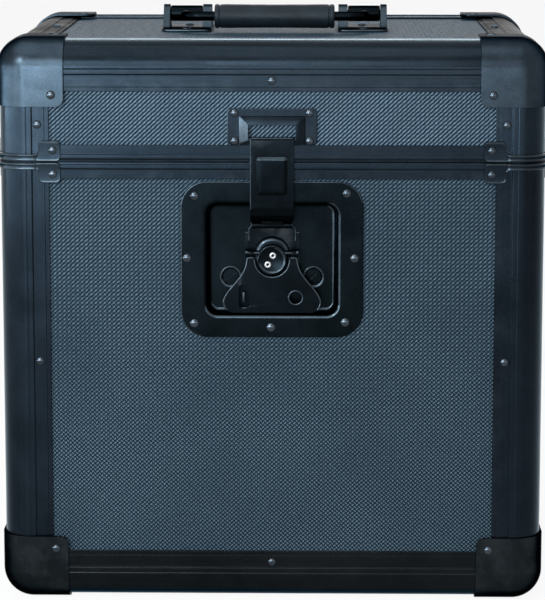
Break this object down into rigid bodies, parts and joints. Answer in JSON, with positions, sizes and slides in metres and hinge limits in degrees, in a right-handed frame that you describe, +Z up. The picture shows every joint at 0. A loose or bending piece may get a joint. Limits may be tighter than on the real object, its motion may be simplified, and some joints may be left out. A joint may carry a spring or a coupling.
{
  "type": "record carrying case",
  "caption": "Upright record carrying case with a hinged lid, rounded edge extrusions, ball corners, a recessed butterfly latch and a drop handle on top.",
  "frame": {"origin": "centre of the case's footprint, on the surface that it stands on", "axes": "+Z up, front with the latch towards -Y, +X to the right seen from the front"},
  "size_m": [0.3686, 0.291, 0.4002],
  "materials": {
    "textured_board": "board with a dark blue-grey embossed plastic skin, satin",
    "black_anodised": "black anodised, satin",
    "black_steel": "black plated steel, satin",
    "lining_foam": "matt black foam",
    "grip_plastic": "black moulded plastic"
  },
  "bodies": {
    "case_body": {"panel_front": "textured_board", "panel_back": "textured_board", "panel_left": "textured_board", "panel_right": "textured_board", "panel_bottom": "textured_board", "lining_body": "lining_foam", "rim_body": "black_anodised", "upright_front_left": "black_anodised", "upright_front_right": "black_anodised", "upright_back_right": "black_anodised", "upright_back_left": "black_anodised", "edge_front": "black_anodised", "edge_back": "black_anodised", "edge_left": "black_anodised", "edge_right": "black_anodised", "ball_front_left": "black_steel", "ball_front_right": "black_steel", "ball_back_right": "black_steel", "ball_back_left": "black_steel", "clamp_front_left": "black_steel", "clamp_front_right": "black_steel", "clamp_back_right": "black_steel", "clamp_back_left": "black_steel", "latch_dish": "black_steel", "hinge_body_left": "black_steel", "hinge_body_right": "black_steel"},
    "lid": {"lid_panel_front": "textured_board", "lid_panel_back": "textured_board", "lid_panel_left": "textured_board", "lid_panel_right": "textured_board", "lid_panel_top": "textured_board", "lining_lid": "lining_foam", "rim_lid": "black_anodised", "lid_upright_front_left": "black_anodised", "lid_upright_front_right": "black_anodised", "lid_upright_back_right": "black_anodised", "lid_upright_back_left": "black_anodised", "lid_edge_front": "black_anodised", "lid_edge_back": "black_anodised", "lid_edge_left": "black_anodised", "lid_edge_right": "black_anodised", "lid_ball_front_left": "black_steel", "lid_ball_front_right": "black_steel", "lid_ball_back_right": "black_steel", "lid_ball_back_left": "black_steel", "lid_clamp_front_left": "black_steel", "lid_clamp_front_right": "black_steel", "lid_clamp_back_right": "black_steel", "lid_clamp_back_left": "black_steel", "latch_keeper": "black_steel", "hinge_lid_left": "black_steel", "hinge_lid_right": "black_steel", "handle_bracket_left": "black_steel", "handle_bracket_right": "black_steel"},
    "latch_rotor": {"latch_rotor": "black_steel"},
    "latch_wings": {"latch_wings": "black_steel"},
    "latch_link": {"latch_link": "black_steel"},
    "latch_arm": {"latch_arm": "black_steel"},
    "handle": {"handle_bail": "black_steel", "handle_grip": "grip_plastic"}
  },
  "joints": [
    {"name": "lid_hinge", "type": "hinge", "parent": "case_body", "child": "lid", "pos_m": [0, 0.1433, 0.3021], "axis": [-1, 0, 0], "range_deg": [0, 100]},
    {"name": "latch_turn", "type": "hinge", "parent": "case_body", "child": "latch_rotor", "pos_m": [0, -0.1285, 0.239], "axis": [0, -1, 0], "range_deg": [0, 180]},
    {"name": "wings_fold", "type": "hinge", "parent": "latch_rotor", "child": "latch_wings", "pos_m": [0, -0.1372, 0.2405], "axis": [-1, 0, 0], "range_deg": [0, 90]},
    {"name": "link_lift", "type": "slide", "parent": "case_body", "child": "latch_link", "axis": [0, 0, 1], "range_m": [0, 0.006]},
    {"name": "arm_swing", "type": "hinge", "parent": "latch_link", "child": "latch_arm", "pos_m": [0, -0.1332, 0.259], "axis": [1, 0, 0], "range_deg": [0, 85]},
    {"name": "handle_swing", "type": "hinge", "parent": "lid", "child": "handle", "pos_m": [0, 0, 0.3918], "axis": [-1, 0, 0], "range_deg": [0, 180]}
  ],
  "couplings": [
    {"joint": "wings_fold", "follows": "latch_turn", "ratio": 0.5},
    {"joint": "link_lift", "follows": "latch_turn", "m_per_rad": 0.0019098}
  ]
}
